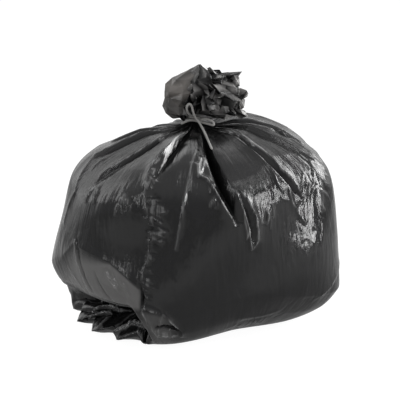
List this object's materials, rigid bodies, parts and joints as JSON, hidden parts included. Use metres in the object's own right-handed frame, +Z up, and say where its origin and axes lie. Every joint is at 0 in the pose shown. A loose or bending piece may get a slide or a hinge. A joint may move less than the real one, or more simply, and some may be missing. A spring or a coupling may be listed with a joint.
{
  "type": "filled tied bin bag",
  "caption": "Plump filled refuse bag of glossy black film, gathered at the neck and tied with string under a crumpled ruffle, to stand on a floor.",
  "frame": {"origin": "on the floor, under the middle of the bag's bounding box", "axes": "+Z up, +X to the right along the bag's widest extent, -Y towards the viewer of the front"},
  "size_m": [0.4054, 0.3526, 0.3642],
  "materials": {
    "black_film": "glossy thin polyethylene film, slightly streaked, drawn tight over the contents and finely creased",
    "grey_twine": "soft twisted light grey string"
  },
  "bodies": {
    "root": {"bag": "black_film", "tie_string": "grey_twine"}
  },
  "joints": []
}
